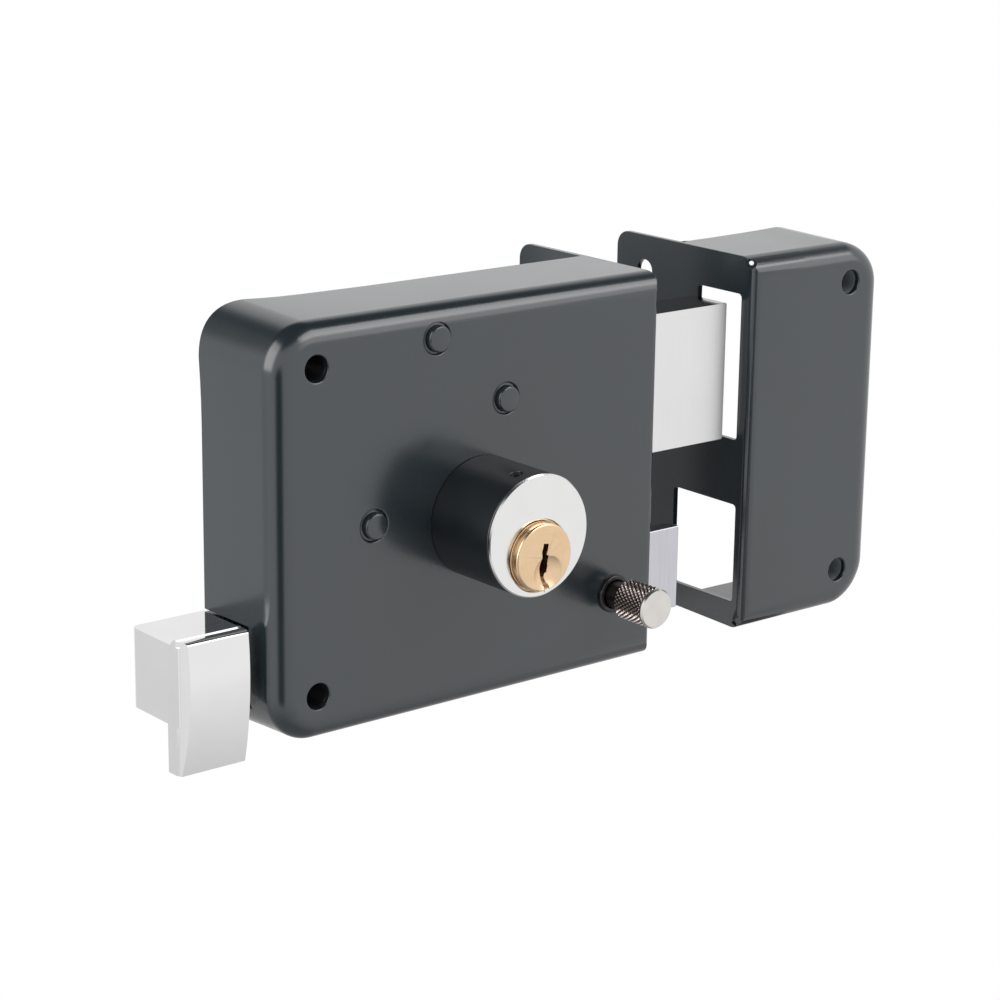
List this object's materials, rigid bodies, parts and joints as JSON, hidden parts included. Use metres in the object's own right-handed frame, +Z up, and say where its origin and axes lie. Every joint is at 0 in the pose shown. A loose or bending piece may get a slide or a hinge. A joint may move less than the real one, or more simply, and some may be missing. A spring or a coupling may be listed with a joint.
{
  "type": "rim box lock",
  "caption": "Rim box lock: a painted steel case with a key-driven deadbolt, a sprung latch with a pull and a hold-back button, and its separate strike box.",
  "frame": {"origin": "on the plane that lies against the door, midway between the case's two front screws", "axes": "+X towards the edge of the door, the way the bolts shoot; +Y into the door; +Z up"},
  "size_m": [0.2095, 0.0752, 0.1005],
  "materials": {
    "case_paint": "satin dark grey baked paint",
    "collar_paint": "semi-gloss near-black paint",
    "bright_chrome": "polished chrome plate",
    "brushed_bolt_steel": "ground and nickel plated steel, fine vertical grain",
    "mill_steel": "plain milled steel",
    "spring_steel": "bright drawn spring wire",
    "zinc_plate": "zinc plated steel, slightly clouded",
    "ring_black": "gloss black paint",
    "knob_nickel": "nickel plate over diamond knurling",
    "plug_brass": "pale turned brass"
  },
  "bodies": {
    "lock_body": {"case_shell": "case_paint", "back_plate": "zinc_plate", "cover_screws": "zinc_plate", "case_screw_tubes": "zinc_plate", "front_posts": "case_paint", "bolt_guide": "zinc_plate", "bolt_detent_spring": "spring_steel", "spring_bracket": "zinc_plate", "button_ring": "ring_black", "lever_clips": "mill_steel", "cylinder_collar": "collar_paint", "cylinder_body": "bright_chrome", "cylinder_nut": "zinc_plate", "collar_set_screw": "mill_steel", "driver_pins": "plug_brass", "driver_springs": "spring_steel", "pin_cover": "plug_brass", "strike_shell": "case_paint", "strike_screw_tubes": "zinc_plate", "latch_spring": "spring_steel"},
    "deadbolt": {"deadbolt_block": "brushed_bolt_steel", "deadbolt_tail": "mill_steel", "deadbolt_rivets": "zinc_plate"},
    "key_plug": {"cylinder_plug": "plug_brass", "key_pins": "plug_brass", "plug_clip": "mill_steel", "cam_tongue": "zinc_plate", "cam_screw": "mill_steel"},
    "latch": {"latch_bolt": "brushed_bolt_steel", "latch_slide": "mill_steel", "latch_slide_rivets": "zinc_plate", "fork_pin": "zinc_plate", "spring_rod": "mill_steel", "pull_handle": "bright_chrome", "pull_screw": "zinc_plate"},
    "lever": {"latch_lever": "zinc_plate", "lever_nose_pin": "zinc_plate"},
    "hold_back_button": {"button_knob": "knob_nickel", "button_spindle": "mill_steel", "button_clip": "mill_steel"}
  },
  "joints": [
    {"name": "deadbolt_slide", "type": "slide", "parent": "lock_body", "child": "deadbolt", "axis": [1, 0, 0], "range_m": [-0.028, 0], "deforming": ["bolt_detent_spring"]},
    {"name": "key_turn", "type": "hinge", "parent": "lock_body", "child": "key_plug", "pos_m": [0.0462, -0.0282, -0.00775], "axis": [0, 1, 0], "range_deg": [-110, 0]},
    {"name": "latch_slide", "type": "slide", "parent": "lock_body", "child": "latch", "axis": [1, 0, 0], "range_m": [-0.0145, 0], "stiffness_N_per_m": 300, "springref_m": 0.015, "deforming": ["latch_spring"]},
    {"name": "lever_turn", "type": "hinge", "parent": "lock_body", "child": "lever", "pos_m": [0.0156, -0.0082, -0.0004], "axis": [0, 1, 0], "range_deg": [0, 28.25]},
    {"name": "button_push", "type": "slide", "parent": "lock_body", "child": "hold_back_button", "axis": [0, 1, 0], "range_m": [0, 0.004]}
  ],
  "couplings": [
    {"joint": "key_turn", "follows": "deadbolt_slide", "rad_per_m": 68.56},
    {"joint": "lever_turn", "follows": "latch_slide", "rad_per_m": -33.98}
  ]
}
